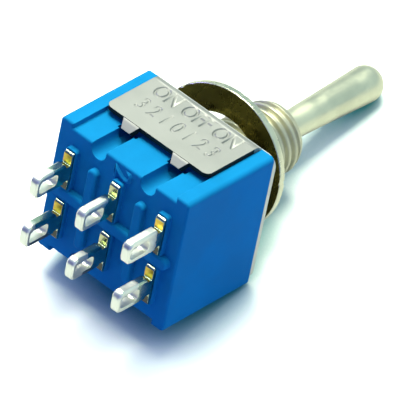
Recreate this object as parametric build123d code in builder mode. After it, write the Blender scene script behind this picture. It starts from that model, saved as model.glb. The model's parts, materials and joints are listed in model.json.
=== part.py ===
"""Miniature toggle switch with two poles and three positions, in millimetres.

+X runs along the lever's axis, from the terminals to the lever's tip. +Y runs across the row of
three terminals and +Z across the two rows. The origin is on the bushing's axis, where the free
thread starts in front of the loose washer.
"""

import os
from math import cos, radians, sin

from build123d import *

# Places along the lever's axis
plate_face = -3.5
plate_thickness = 0.38
case_depth = 9.62
base_thickness = 1.8
bushing_end = 5.1
pivot = 2.1
lever_end = 16.8
case_mouth = plate_face - plate_thickness
terminal_face = case_mouth - case_depth
cavity_floor = terminal_face + base_thickness

# Case
case_width = 13.2
case_height = 12.4
corner_radius = 0.4
edge_fillet = 0.2
recess_width = 10.6
recess_depth = 0.45
recess_floor = case_height / 2 - recess_depth
groove_offset = 2.55
groove_width = 1.5
groove_depth = 1.1
groove_length = 3.0
groove_headroom = 2.0
pocket_length = 1.6
pocket_width = 1.9
pocket_depth = 1.25
mouth_chamfer = 0.4
cavity_width = 10.8
cavity_height = 8.1
divider_width = 0.8
divider_height = 1.9
rib_height = 0.55
rib_width = 0.9
rib_fillet = 0.22
rib_offset = 2.42
rib_length = 7.6
cross_rib_width = 1.05
cross_rib_length = 12.0
collar_height = 0.42
collar_length = 3.8
collar_width = 1.06
collar_radius = 0.25

# Terminals
pitch = 4.75
row_offset = 2.375
blade_thickness = 0.8
blade_half_height = 1.0
blade_length = 4.3
ear_half_height = 1.75
ear_reach = 0.7
ear_radius = 0.26
notch_length = 0.54
notch_flat = 0.42
notch_depth = 0.32
tip_radius = 0.6
blade_chamfer = 0.14
eye_length = 2.0
eye_height = 1.12
eye_corner = 0.35
eye_to_tip = 0.33
root_half_height = 1.25
slot_clearance = 0.02
shoulder_half_height = 1.45
foot_thickness = 0.5
fold_radius = 0.3
foot_reach = 1.65
foot_half_height = 1.2
contact_radius = 0.75
contact_height = 0.25
contact_offset = 3.9

# Rocking contacts
rocker_axis = cavity_floor + 1.25
crest_radius = 0.4
rocker_underside = 0.35
rocker_thickness = 0.55
rocker_half_length = 4.5
rocker_arm_half_width = 1.0
rocker_centre_half_width = 1.5
rocker_centre_half_length = 0.9
saddle_radius = 0.44
bump_drop = 0.2
ear_tab_length = 0.75
ear_tab_half_width = 0.5
ear_tab_thickness = 0.3
fulcrum_half_height = 1.15

# Actuator, plungers and springs
actuator_top = pivot - 7.5
actuator_bottom = pivot - 10.7
actuator_width = 3.4
actuator_height = 7.0
ball_end = pivot - 8.9
ball_end_radius = 0.95
socket_radius = 0.98
plunger_radius = 0.8
plunger_bore_radius = 0.84
plunger_gap = 0.05
plunger_length = 2.1
plunger_wall = 0.3
plunger_bore_depth = 2.6
spring_radius = 0.34
spring_wire = 0.11
spring_turns = 4

# Frame
plate_height = 11.8
plate_corner_radius = 0.9
leg_width = 10.5
leg_face = 6.6
leg_length = 6.6
leg_corner_radius = 0.55
bend_radius = 1.24
tab_base_width = 1.6
tab_tip_width = 0.8
tab_length = 0.85
tab_angle = 42
tab_cut_gap = 0.05
tab_cut_depth = 3.0

# Bushing, nut and washer
thread_radius = 3.0
pitch_radius = 2.76
free_thread_start = -0.05
end_chamfer = 0.36
end_chamfer_length = 0.75
keyway_width = 0.9
keyway_floor = 2.5
bore_radius = 2.03
mouth_radius = 1.9
seat_radius = 1.6
seat_distance = 1.22
flare_radius = 2.3
flange_radius = 3.8
flange_thickness = 0.6
nut_across_flats = 8.0
nut_thickness = 1.75
nut_corner = 4.64
nut_corner_cut = 0.5
washer_radius = 6.0
washer_bore_radius = 3.7
washer_thickness = 0.65
washer_chamfer = 0.11
washer_centre = (plate_face + 2.26, 0.50, 0.37)
washer_normal = (1, 0.066, -0.083)

# Lever
ball_radius = 2.0
ball_overlap = 0.3
arm_radius = 0.7
arm_shoulder_radius = 1.0
arm_shoulder_distance = 4.0
handle_root_radius = 1.07
handle_tip_radius = 1.5
handle_tip_fillet = 1.3

os.makedirs("parts", exist_ok=True)

# Case: outer form, open towards the frame plate
with BuildPart() as case:
    with BuildSketch(Plane.YZ.offset(terminal_face)):
        RectangleRounded(case_width, case_height, corner_radius)
    extrude(amount=case_depth)

    # Strap recess between two rails, on both long faces
    with BuildSketch(Plane.YZ.offset(terminal_face)):
        with Locations((0, case_height / 2), (0, -case_height / 2)):
            Rectangle(recess_width, 2 * recess_depth)
    extrude(amount=case_depth, mode=Mode.SUBTRACT)
    recess_rims = case.edges().filter_by(Axis.Y).group_by(Axis.X)[-1].filter_by(
        lambda edge: edge.length > corner_radius + recess_width / 2
    )
    chamfer(recess_rims, mouth_chamfer)
    fillet(case.edges().group_by(Axis.X)[0], edge_fillet)

    # Round-bottomed grooves that lead the strap's tabs to their pockets
    groove_centre = recess_floor - groove_depth + groove_width / 2
    with BuildSketch(Plane.YZ.offset(terminal_face)):
        with Locations((groove_offset, groove_centre), (-groove_offset, groove_centre)):
            Circle(groove_width / 2)
        groove_top = groove_centre + groove_headroom / 2
        with Locations((groove_offset, groove_top), (-groove_offset, groove_top)):
            Rectangle(groove_width, groove_headroom)
        mirror(about=Plane.XZ)
    extrude(amount=groove_length, mode=Mode.SUBTRACT)
    pocket_start = terminal_face + groove_length
    with BuildSketch(Plane.XY.offset(recess_floor - pocket_depth)):
        with Locations((pocket_start + pocket_length / 2, 0)):
            with GridLocations(0, 2 * groove_offset, 1, 2):
                Rectangle(pocket_length, pocket_width)
    pockets = extrude(amount=2 * pocket_depth, mode=Mode.SUBTRACT)
    mirror(pockets, about=Plane.XY, mode=Mode.SUBTRACT)

    # Mechanism space with a low wall between the two poles
    with BuildSketch(Plane.YZ.offset(case_mouth)):
        RectangleRounded(cavity_width, cavity_height, corner_radius)
    extrude(amount=-(case_depth - base_thickness), mode=Mode.SUBTRACT)
    with BuildSketch(Plane.YZ.offset(cavity_floor)):
        Rectangle(cavity_width, divider_width)
    extrude(amount=divider_height)

    # Ribs between the terminals
    with BuildSketch(Plane.YZ.offset(terminal_face)):
        with Locations((rib_offset, 0), (-rib_offset, 0)):
            SlotOverall(rib_length, rib_width, rotation=90)
        SlotOverall(cross_rib_length, cross_rib_width)
    extrude(amount=-rib_height)
    fillet(case.edges().group_by(Axis.X)[0], rib_fillet)

    # Low collars round the terminals and the slots through the base
    with BuildSketch(Plane.YZ.offset(terminal_face)):
        with GridLocations(pitch, 2 * row_offset, 3, 2):
            RectangleRounded(collar_width, collar_length, collar_radius)
    extrude(amount=-collar_height)
    with BuildSketch(Plane.YZ.offset(cavity_floor)):
        with GridLocations(pitch, 2 * row_offset, 3, 2):
            Rectangle(
                blade_thickness + 2 * slot_clearance,
                2 * root_half_height + 2 * slot_clearance,
            )
    extrude(amount=-(base_thickness + rib_height), mode=Mode.SUBTRACT)
case.part.label = "case"
export_step(case.part, "parts/case.step")

# Frame: end plate, two folded legs and four bent tabs, from one sheet
with BuildPart() as frame:
    with BuildSketch(Plane.YZ.offset(case_mouth)):
        RectangleRounded(case_width, plate_height, plate_corner_radius)
    extrude(amount=plate_thickness)
    leg_end = plate_face - leg_length
    with BuildSketch(Plane.XZ) as leg_section:
        with BuildLine():
            Polyline(
                (plate_face, plate_height / 2 - plate_corner_radius),
                (plate_face, leg_face),
                (leg_end, leg_face),
                (leg_end, leg_face - plate_thickness),
                (case_mouth, leg_face - plate_thickness),
                (case_mouth, plate_height / 2 - plate_corner_radius),
                close=True,
            )
        make_face()
        outer_corner = leg_section.vertices().group_by(Axis.X)[-1].sort_by(Axis.Y)[-1]
        fillet(outer_corner, bend_radius)
        inner_corner = leg_section.vertices().filter_by_position(Axis.X, case_mouth, case_mouth)
        fillet(inner_corner.sort_by(Axis.Y)[-1], bend_radius - plate_thickness)
    extrude(amount=leg_width / 2, both=True)
    fillet(frame.edges().filter_by(Axis.Z).group_by(Axis.X)[0], leg_corner_radius)

    # Tabs, bent into the pockets and narrowed towards their tips
    slope = radians(tab_angle)
    tab_tip = leg_end - tab_length * cos(slope)
    inner_drop = tab_length * sin(slope) + plate_thickness * cos(slope) - plate_thickness
    for side in (groove_offset, -groove_offset):
        with BuildSketch(Plane.XZ.offset(side)) as tab_section:
            with BuildLine():
                Polyline(
                    (leg_end + plate_thickness, leg_face),
                    (leg_end, leg_face),
                    (tab_tip, leg_face - tab_length * sin(slope)),
                    (
                        tab_tip + plate_thickness * sin(slope),
                        leg_face - plate_thickness - inner_drop,
                    ),
                    (
                        tab_tip + plate_thickness * sin(slope) + inner_drop * cos(slope) / sin(slope),
                        leg_face - plate_thickness,
                    ),
                    (leg_end + plate_thickness, leg_face - plate_thickness),
                    close=True,
                )
            make_face()
            bend_corner = tab_section.vertices().sort_by(Axis.Y)[-2:].sort_by(Axis.X)[0]
            fillet(bend_corner, bend_radius / 2)
        extrude(amount=tab_base_width / 2, both=True)
    with BuildSketch(Plane.XY.offset(leg_face + plate_thickness)):
        for side in (groove_offset, -groove_offset):
            for edge in (1, -1):
                with BuildLine():
                    Polyline(
                        (leg_end - tab_cut_gap, side + edge * tab_base_width / 2),
                        (tab_tip - tab_cut_gap, side + edge * tab_base_width / 2),
                        (tab_tip - tab_cut_gap, side + edge * tab_tip_width / 2),
                        close=True,
                    )
                make_face()
    extrude(amount=-tab_cut_depth, mode=Mode.SUBTRACT)
    mirror(about=Plane.XY)
    with BuildSketch(Plane.YZ.offset(case_mouth)):
        Circle(thread_radius + slot_clearance)
    extrude(amount=plate_thickness, mode=Mode.SUBTRACT)
frame.part.label = "frame"
export_step(frame.part, "parts/frame.step")

# Bushing: turned, with a flange behind the plate, the ball's seat and a keyway
with BuildPart() as bushing:
    with BuildSketch(Plane.XY):
        with BuildLine():
            Polyline(
                (case_mouth - flange_thickness, flare_radius),
                (case_mouth - flange_thickness, flange_radius),
                (case_mouth, flange_radius),
                (case_mouth, thread_radius),
                (plate_face, thread_radius),
                (plate_face, pitch_radius),
                (free_thread_start, pitch_radius),
                (free_thread_start, thread_radius),
                (bushing_end - end_chamfer_length, thread_radius),
                (bushing_end, thread_radius - end_chamfer),
                (bushing_end, mouth_radius),
                (pivot + seat_distance, seat_radius),
                (pivot + seat_distance, bore_radius),
                (plate_face, bore_radius),
                close=True,
            )
        make_face()
    revolve(axis=Axis.X)
    keyway_height = thread_radius - keyway_floor
    with BuildSketch(Plane.YZ.offset(plate_face)):
        with Locations((keyway_floor + keyway_height, 0)):
            Rectangle(2 * keyway_height, keyway_width)
    extrude(amount=bushing_end - plate_face, mode=Mode.SUBTRACT)
bushing.part.label = "bushing"
export_step(bushing.part, "parts/bushing.step")

# Hex nut against the plate, its corners chamfered on both faces
with BuildPart() as hex_nut:
    with BuildSketch(Plane.YZ.offset(plate_face)):
        RegularPolygon(nut_across_flats / 2, 6, major_radius=False)
        Circle(pitch_radius + slot_clearance, mode=Mode.SUBTRACT)
    extrude(amount=nut_thickness)
    with BuildSketch(Plane.XY):
        with BuildLine():
            Polyline(
                (plate_face, 0),
                (plate_face, nut_corner - nut_corner_cut),
                (plate_face + nut_corner_cut / 2, nut_corner),
                (plate_face + nut_thickness - nut_corner_cut / 2, nut_corner),
                (plate_face + nut_thickness, nut_corner - nut_corner_cut),
                (plate_face + nut_thickness, 0),
                close=True,
            )
        make_face()
    revolve(axis=Axis.X, mode=Mode.INTERSECT)
hex_nut.part.label = "hex_nut"
export_step(hex_nut.part, "parts/hex_nut.step")

# Loose flat washer, leaning on the nut
with BuildPart() as washer:
    with BuildSketch(Plane(origin=washer_centre, z_dir=washer_normal)):
        Circle(washer_radius)
        Circle(washer_bore_radius, mode=Mode.SUBTRACT)
    extrude(amount=washer_thickness)
    chamfer(washer.edges().filter_by(GeomType.CIRCLE), washer_chamfer)
washer.part.label = "washer"
export_step(washer.part, "parts/washer.step")


def blade(y, z):
    """The stamped solder lug: outer blade with its eye and two staked ears, and the root."""
    ear_face = terminal_face - ear_reach
    tip = terminal_face - blade_length
    notch_floor = blade_half_height - notch_depth
    with BuildPart() as lug:
        with BuildSketch(Plane((0, y, z), x_dir=(1, 0, 0), z_dir=(0, -1, 0))) as outline:
            with BuildLine():
                Polyline(
                    (cavity_floor, 0),
                    (cavity_floor, root_half_height),
                    (terminal_face - collar_height, root_half_height),
                    (terminal_face - collar_height, ear_half_height),
                    (ear_face, ear_half_height),
                    (ear_face, notch_floor),
                    (ear_face - notch_flat, notch_floor),
                    (ear_face - notch_length, blade_half_height),
                    (tip, blade_half_height),
                    (tip, 0),
                )
                mirror(about=Plane.XZ)
            make_face()
            low_ear = outline.vertices().group_by(Axis.Y)[0].sort_by(Axis.X)[0]
            high_ear = outline.vertices().group_by(Axis.Y)[-1].sort_by(Axis.X)[0]
            fillet([low_ear, high_ear], ear_radius)
            tip_corners = outline.vertices().group_by(Axis.X)[0].sort_by(Axis.Y)
            fillet([tip_corners[0], tip_corners[-1]], tip_radius)
            with Locations((tip + eye_to_tip + eye_length / 2, 0)):
                RectangleRounded(eye_length, eye_height, eye_corner, mode=Mode.SUBTRACT)
        extrude(amount=blade_thickness / 2, both=True)
        chamfer(lug.edges().filter_by(Axis.Z).group_by(Axis.X)[0], blade_chamfer)
    return lug.part


def throw_terminal(y, z):
    """A lug whose inner end is folded towards the middle as a foot for its contact."""
    side = 1 if y > 0 else -1
    with BuildPart() as terminal:
        add(blade(y, z))
        with BuildSketch(Plane.YZ.offset(cavity_floor)):
            with Locations((y - side * (foot_reach - blade_thickness / 2) / 2, z)):
                Rectangle(foot_reach + blade_thickness / 2, 2 * foot_half_height)
        extrude(amount=foot_thickness)
        fold = terminal.edges().filter_by(Axis.Z).group_by(Axis.X)[-1]
        fillet(fold.sort_by(Axis.Y)[-1 if side > 0 else 0], fold_radius)
    return terminal.part


def common_terminal(z):
    """A lug whose inner end is a rounded crest that the rocking contact sits on."""
    with BuildPart() as terminal:
        add(blade(0, z))
        with BuildSketch(Plane.YZ.offset(cavity_floor)):
            with Locations((0, z)):
                Rectangle(blade_thickness, 2 * shoulder_half_height)
        extrude(amount=foot_thickness)
        with BuildSketch(Plane.XY.offset(z)):
            with Locations((rocker_axis, 0)):
                Circle(crest_radius)
            with Locations(((cavity_floor + rocker_axis) / 2, 0)):
                Rectangle(rocker_axis - cavity_floor, blade_thickness)
        extrude(amount=fulcrum_half_height, both=True)
    return terminal.part


def contact(y, z):
    """A silver contact rivet's head on a throw terminal's foot."""
    with BuildPart() as head:
        with BuildSketch(Plane.YZ.offset(cavity_floor + foot_thickness)):
            with Locations((y, z)):
                Circle(contact_radius)
        extrude(amount=contact_height)
        chamfer(head.edges().group_by(Axis.X)[-1], contact_height / 2)
    return head.part


def rocker(z):
    """A contact strip that rocks on the common terminal's crest, held by two ear tabs."""
    underside = rocker_axis + rocker_underside
    with BuildPart() as strip:
        with BuildSketch(Plane.XY.offset(z)):
            with Locations((underside + rocker_thickness / 2, 0)):
                Rectangle(rocker_thickness, 2 * rocker_half_length)
            bump_centre = underside + (rocker_thickness - bump_drop) / 2
            with Locations((bump_centre, contact_offset), (bump_centre, -contact_offset)):
                Circle((rocker_thickness + bump_drop) / 2)
            with Locations((rocker_axis, 0)):
                Circle(saddle_radius, mode=Mode.SUBTRACT)
        extrude(amount=rocker_centre_half_width, both=True)
        with BuildSketch(Plane.YZ.offset(rocker_axis)):
            with Locations((0, z)):
                Rectangle(2 * rocker_half_length, 2 * rocker_arm_half_width)
                Rectangle(2 * rocker_centre_half_length, 2 * rocker_centre_half_width)
        extrude(amount=rocker_underside + 2 * rocker_thickness, mode=Mode.INTERSECT)
        for start in (
            z + rocker_centre_half_width - ear_tab_thickness,
            z - rocker_centre_half_width,
        ):
            with BuildSketch(Plane.XY.offset(start)):
                with Locations((underside - ear_tab_length / 2, 0)):
                    Rectangle(ear_tab_length, 2 * ear_tab_half_width)
            extrude(amount=ear_tab_thickness)
    return strip.part


contact_set = {
    "throw_terminal_1": throw_terminal(pitch, row_offset),
    "common_terminal_2": common_terminal(row_offset),
    "throw_terminal_3": throw_terminal(-pitch, row_offset),
    "throw_terminal_4": throw_terminal(pitch, -row_offset),
    "common_terminal_5": common_terminal(-row_offset),
    "throw_terminal_6": throw_terminal(-pitch, -row_offset),
    "contact_1": contact(contact_offset, row_offset),
    "contact_3": contact(-contact_offset, row_offset),
    "contact_4": contact(contact_offset, -row_offset),
    "contact_6": contact(-contact_offset, -row_offset),
    "rocker_upper": rocker(row_offset),
    "rocker_lower": rocker(-row_offset),
}
for label, piece in contact_set.items():
    piece.label = label
    export_step(piece, f"parts/{label}.step")

# Toggle lever: turned in one piece, with its pivot ball and the small ball that drives the actuator
with BuildPart() as toggle_lever:
    with BuildSketch(Plane.XY) as half_profile:
        with BuildLine():
            Polyline(
                (ball_end, 0),
                (ball_end, arm_radius),
                (pivot - arm_shoulder_distance, arm_radius),
                (pivot - ball_radius + ball_overlap, arm_shoulder_radius),
                (pivot + ball_radius - ball_overlap, handle_root_radius),
                (bushing_end, handle_root_radius),
                (lever_end - handle_tip_radius, handle_tip_radius),
                (lever_end, handle_tip_radius),
                (lever_end, 0),
                close=True,
            )
        make_face()
        tip_corner = half_profile.vertices().group_by(Axis.X)[-1].sort_by(Axis.Y)[-1]
        fillet(tip_corner, handle_tip_fillet)
        with Locations((pivot, 0)):
            Circle(ball_radius)
        with Locations((ball_end, 0)):
            Circle(ball_end_radius)
        with Locations((pivot, -ball_radius)):
            Rectangle(4 * lever_end, 2 * ball_radius, mode=Mode.SUBTRACT)
    revolve(axis=Axis.X)
toggle_lever.part.label = "toggle_lever"
export_step(toggle_lever.part, "parts/toggle_lever.step")

# Actuator: moulded block with the socket for the lever and two bores for the plungers
with BuildPart() as actuator:
    with BuildSketch(Plane.YZ.offset(actuator_bottom)):
        RectangleRounded(actuator_width, actuator_height, corner_radius)
    extrude(amount=actuator_top - actuator_bottom)
    with Locations((ball_end, 0, 0)):
        Sphere(socket_radius, mode=Mode.SUBTRACT)
    with BuildSketch(Plane.YZ.offset(ball_end)):
        Circle(socket_radius)
    extrude(amount=actuator_top - ball_end, mode=Mode.SUBTRACT)
    with BuildSketch(Plane.YZ.offset(actuator_bottom)):
        with Locations((0, row_offset), (0, -row_offset)):
            Circle(plunger_bore_radius)
    extrude(amount=plunger_bore_depth, mode=Mode.SUBTRACT)
actuator.part.label = "actuator"
export_step(actuator.part, "parts/actuator.step")

plunger_tip = rocker_axis + rocker_underside + rocker_thickness + plunger_gap


def plunger(z):
    """A round-nosed cup that slides in the actuator and presses on the rocking contact."""
    axis = Axis((0, 0, z), (1, 0, 0))
    with BuildPart() as cup:
        with BuildSketch(Plane.XY.offset(z)):
            with Locations((plunger_tip + plunger_radius, 0)):
                Circle(plunger_radius)
            with Locations((plunger_tip + (plunger_radius + plunger_length) / 2, 0)):
                Rectangle(plunger_length - plunger_radius, 2 * plunger_radius)
            with Locations((plunger_tip + (plunger_radius + plunger_length) / 2, 0)):
                Rectangle(
                    plunger_length - plunger_radius,
                    2 * (plunger_radius - plunger_wall),
                    mode=Mode.SUBTRACT,
                )
            with Locations((plunger_tip + plunger_length / 2, -plunger_radius)):
                Rectangle(plunger_length, 2 * plunger_radius, mode=Mode.SUBTRACT)
        revolve(axis=axis)
    return cup.part


def plunger_spring(z):
    """The coil spring between a plunger's bore and the end of its bore in the actuator."""
    start = plunger_tip + plunger_radius + spring_wire
    end = actuator_bottom + plunger_bore_depth - spring_wire
    with BuildPart() as coil:
        with BuildLine() as path:
            Helix((end - start) / spring_turns, end - start, spring_radius, (start, 0, z), (1, 0, 0))
        with BuildSketch(Plane(origin=path.line @ 0, z_dir=path.line % 0)):
            Circle(spring_wire)
        sweep()
    return coil.part


plunger_set = {
    "plunger_upper": plunger(row_offset),
    "plunger_lower": plunger(-row_offset),
    "plunger_spring_upper": plunger_spring(row_offset),
    "plunger_spring_lower": plunger_spring(-row_offset),
}
for label, piece in plunger_set.items():
    piece.label = label
    export_step(piece, f"parts/{label}.step")
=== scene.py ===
"""Finish of a miniature toggle switch with two poles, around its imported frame.

The switch lies on its long side, tipped forward onto the tip of its lever, as in its picture. +X
runs along the lever's axis to the lever's tip, +Y across a row of three lugs and +Z across the two
rows. Sizes below are in metres, and the origin is where the bushing's free thread starts.
"""

import json
from functools import cache
from math import asin, atan2, cos, hypot, radians, sin, tan

import bmesh
import bpy
import numpy as np
from bpy.props import FloatProperty, FloatVectorProperty, PointerProperty, StringProperty
from mathutils import Matrix, Vector


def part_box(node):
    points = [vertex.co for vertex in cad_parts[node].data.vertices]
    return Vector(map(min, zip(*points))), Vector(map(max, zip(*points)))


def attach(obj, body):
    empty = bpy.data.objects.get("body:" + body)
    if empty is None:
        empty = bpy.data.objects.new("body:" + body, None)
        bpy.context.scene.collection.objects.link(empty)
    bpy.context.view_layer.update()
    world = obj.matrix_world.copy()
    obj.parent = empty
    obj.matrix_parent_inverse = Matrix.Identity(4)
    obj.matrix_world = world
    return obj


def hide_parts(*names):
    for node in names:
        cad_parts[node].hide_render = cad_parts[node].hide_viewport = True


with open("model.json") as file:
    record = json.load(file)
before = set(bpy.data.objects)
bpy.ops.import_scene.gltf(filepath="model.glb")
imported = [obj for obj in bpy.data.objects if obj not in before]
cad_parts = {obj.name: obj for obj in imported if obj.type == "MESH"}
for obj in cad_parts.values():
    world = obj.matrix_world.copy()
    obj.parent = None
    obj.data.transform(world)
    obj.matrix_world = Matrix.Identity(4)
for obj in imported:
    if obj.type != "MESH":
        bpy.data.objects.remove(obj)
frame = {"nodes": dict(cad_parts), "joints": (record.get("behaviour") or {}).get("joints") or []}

bl_info = {
    "name": "Toggle Switch Finish",
    "version": (1, 0, 0),
    "blender": (4, 5, 0),
    "location": "3D View > Sidebar > Switch",
    "description": "Finishes, thread, stamped marks and stage of a miniature toggle switch",
    "category": "Object",
}

MM = 0.001
PLATE_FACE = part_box("hex_nut")[0].x
BUSHING_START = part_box("bushing")[0].x
BUSHING_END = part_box("bushing")[1].x
CASE_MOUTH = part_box("case")[1].x
LUG_LENGTH = 4.3 * MM
TERMINAL_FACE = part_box("throw_terminal_1")[0].x + LUG_LENGTH
ROW_HEIGHT = sum(corner.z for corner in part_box("throw_terminal_1")) / 2
LEG_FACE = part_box("frame")[1].z
LEVER_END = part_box("toggle_lever")[1].x
HINGE = next(joint for joint in frame["joints"] if joint["name"] == "lever_swing")
PIVOT = HINGE["pos_m"][0]
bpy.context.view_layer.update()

FLOAT = "NodeSocketFloat"
VECTOR = "NodeSocketVector"


class SwitchSizes(bpy.types.PropertyGroup):
    """Sizes and words of the finish that a maker would change."""

    thread_pitch: FloatProperty(
        name="Thread pitch",
        description="Advance of the bushing's thread in one turn",
        default=0.75 * MM,
        unit="LENGTH",
    )
    thread_depth: FloatProperty(
        name="Thread depth",
        description="Height of the thread from root to crest",
        default=0.34 * MM,
        unit="LENGTH",
    )
    stamp_depth: FloatProperty(
        name="Stamp depth",
        description="Depth of the marks stamped into the strap",
        default=0.11 * MM,
        unit="LENGTH",
    )
    letter_height: FloatProperty(
        name="Letter height",
        description="Height of the marks stamped into the strap",
        default=1.5 * MM,
        unit="LENGTH",
    )
    edge_radius: FloatProperty(
        name="Edge radius",
        description="Radius to which moulded and stamped edges are worn",
        default=0.09 * MM,
        unit="LENGTH",
    )
    first_line: StringProperty(
        name="First line", description="Upper line on the strap", default="ON OFF ON"
    )
    second_line: StringProperty(
        name="Second line", description="Lower line on the strap", default="3 2 1 0 1 2 3"
    )


class SwitchColours(bpy.types.PropertyGroup):
    """Colours of the switch's finishes and of its floor."""

    case_blue: FloatVectorProperty(
        name="Case blue",
        description="Colour of the moulded case",
        default=(0.005, 0.19, 0.415),
        size=3,
        subtype="COLOR",
    )
    strap_nickel: FloatVectorProperty(
        name="Strap nickel",
        description="Colour of the strap's plating",
        default=(0.305, 0.31, 0.29),
        size=3,
        subtype="COLOR",
    )
    lever_nickel: FloatVectorProperty(
        name="Lever nickel",
        description="Colour of the lever's, nut's and washer's plating",
        default=(0.66, 0.645, 0.47),
        size=3,
        subtype="COLOR",
    )
    # Painted shade: the washer's back colour is a dark reflection painted into its plating.
    washer_painted_dark_back: FloatVectorProperty(
        name="Washer back",
        description="Colour of the washer's stained back",
        default=(0.10, 0.085, 0.02),
        size=3,
        subtype="COLOR",
    )
    lug_tin: FloatVectorProperty(
        name="Lug tin",
        description="Colour of the lugs' bright dipped tin",
        default=(0.95, 0.94, 0.80),
        size=3,
        subtype="COLOR",
    )
    lug_brass: FloatVectorProperty(
        name="Lug brass",
        description="Colour of the bare sheared brass",
        default=(0.80, 0.55, 0.09),
        size=3,
        subtype="COLOR",
    )
    floor_pale: FloatVectorProperty(
        name="Floor",
        description="Colour of the pale floor",
        default=(0.97, 1.0, 0.92),
        size=3,
        subtype="COLOR",
    )
    # Painted shadow: the colour laid on the floor close under the switch.
    floor_painted_shadow: FloatVectorProperty(
        name="Floor shade",
        description="Colour of the floor close under the switch",
        default=(0.01, 0.40, 0.38),
        size=3,
        subtype="COLOR",
    )


def skin(name, points, wrap_rows=False, wrap_columns=False, sharp=radians(32)):
    """An object whose mesh joins a grid of points by quads.

    points holds one row of points for each step in the first direction. A wrapped direction joins
    its last line of points to its first. Points that coincide, as at a pole, become one.
    """
    rows, columns = points.shape[:2]
    index = np.arange(rows * columns).reshape(rows, columns)
    if wrap_rows:
        index = np.vstack([index, index[:1]])
    if wrap_columns:
        index = np.hstack([index, index[:, :1]])
    quads = np.stack([index[:-1, :-1], index[1:, :-1], index[1:, 1:], index[:-1, 1:]], axis=-1)
    mesh = bpy.data.meshes.new(name)
    mesh.from_pydata(points.reshape(-1, 3), [], quads.reshape(-1, 4))
    return settled(name, mesh, sharp)


def settled(name, mesh, sharp=radians(32)):
    """An object for the mesh, with doubles merged, faces pointing out and smooth shading."""
    shape = bmesh.new()
    shape.from_mesh(mesh)
    bmesh.ops.remove_doubles(shape, verts=shape.verts, dist=1e-7)
    bmesh.ops.dissolve_degenerate(shape, edges=shape.edges, dist=1e-8)
    bmesh.ops.recalc_face_normals(shape, faces=shape.faces)
    shape.to_mesh(mesh)
    shape.free()
    mesh.shade_smooth()
    mesh.set_sharp_from_angle(angle=sharp)
    piece = bpy.data.objects.new(name, mesh)
    bpy.context.scene.collection.objects.link(piece)
    return piece


def arc(centre, radius, start, end, steps):
    """Points (x, r) of an arc about centre, from angle start to end, measured from +X."""
    angle = np.linspace(start, end, steps)
    return np.stack([centre[0] + radius * np.cos(angle), centre[1] + radius * np.sin(angle)], 1)


def around(profile, angles):
    """Turns a profile of (x, r) points about the X axis: y is r times the cosine, z the sine."""
    x, radius = profile[None, :, 0], profile[None, :, 1]
    angle = angles[:, None]
    return np.stack([x + 0 * angle, radius * np.cos(angle), radius * np.sin(angle)], axis=-1)


def full_turn(steps):
    """Angles of one turn, without the last, which would repeat the first."""
    return np.linspace(0, 2 * np.pi, steps, endpoint=False)


def thread_height(x, angle, pitch):
    """Share of the thread's depth at a place, from 0 at the root to 1 at the crest.

    The place's phase is its distance along the axis in pitches, less its share of a turn. Twice the
    phase's distance from a half says how far the place is from the root's middle. Past the flat of
    the root it climbs the flank as a share s, eased by 3 s^2 - 2 s^3, up to the flat of the crest.
    """
    root_flat, flank = 0.14, 0.66
    phase = np.mod(x / pitch - angle / (2 * np.pi), 1)
    from_root = np.abs(2 * phase - 1)
    share = np.clip((from_root - root_flat) / flank, 0, 1)
    return share * share * (3 - 2 * share)


def dress(piece, material, body, slot, *nodes):
    """Gives a new piece its material, the body that it rides on and the nodes it stands for."""
    piece.data.materials.clear()
    piece.data.materials.append(material)
    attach(piece, body)
    if nodes:
        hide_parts(*nodes)


def coat(node, material):
    """Assigns a material to every slot of a node of the frame."""
    piece = frame["nodes"][node]
    for place in piece.material_slots:
        place.material = material
    if not piece.material_slots:
        piece.data.materials.append(material)


def add_node(tree, kind, inputs=None, **settings):
    """Adds a node, sets its properties, and fills its inputs with values or links."""
    node = tree.nodes.new(kind)
    for name, value in settings.items():
        setattr(node, name, value)
    for key, value in (inputs or {}).items():
        if isinstance(value, bpy.types.NodeSocket):
            tree.links.new(value, node.inputs[key])
        else:
            node.inputs[key].default_value = value
    return node


def maths(tree, operation, first, second=0.0):
    """The result of a math operation on one or two values."""
    return add_node(tree, "ShaderNodeMath", {0: first, 1: second}, operation=operation).outputs[0]


def product(tree, first, *others):
    """The product of several values or masks."""
    result = first
    for other in others:
        result = maths(tree, "MULTIPLY", result, other)
    return result


def weighted_sum(tree, first, *terms):
    """A value plus other values, each times its weight: terms are (value, weight)."""
    result = first
    for value, weight in terms:
        result = maths(tree, "ADD", result, maths(tree, "MULTIPLY", value, weight))
    return result


def below(tree, value, limit):
    """A mask of where a value is below a limit."""
    return maths(tree, "LESS_THAN", value, limit)


def above(tree, value, limit):
    """A mask of where a value is above a limit."""
    return maths(tree, "GREATER_THAN", value, limit)


def unsigned(tree, value):
    """A value without its sign."""
    return maths(tree, "ABSOLUTE", value)


def ramp(tree, value, low, high, out_low=0.0, out_high=1.0):
    """Eases from out_low to out_high as a value goes from low to high, and holds both ends."""
    node = add_node(
        tree,
        "ShaderNodeMapRange",
        {"Value": value, "From Min": low, "From Max": high, "To Min": out_low, "To Max": out_high},
        interpolation_type="SMOOTHSTEP",
    )
    return node.outputs["Result"]


def mix(tree, share, first, second):
    """Mixes two colours, plain or linked, by a share that changes over the surface."""
    inputs = {0: share}
    for slot, colour in ((6, first), (7, second)):
        linked = isinstance(colour, bpy.types.NodeSocket)
        inputs[slot] = colour if linked else (*colour, 1)
    return add_node(tree, "ShaderNodeMix", inputs, data_type="RGBA").outputs[2]


def noise(tree, place, scale, detail=2.0, roughness=0.5):
    """A cloudy noise over a place."""
    inputs = {"Vector": place, "Scale": scale, "Detail": detail, "Roughness": roughness}
    return add_node(tree, "ShaderNodeTexNoise", inputs).outputs[0]


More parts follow.
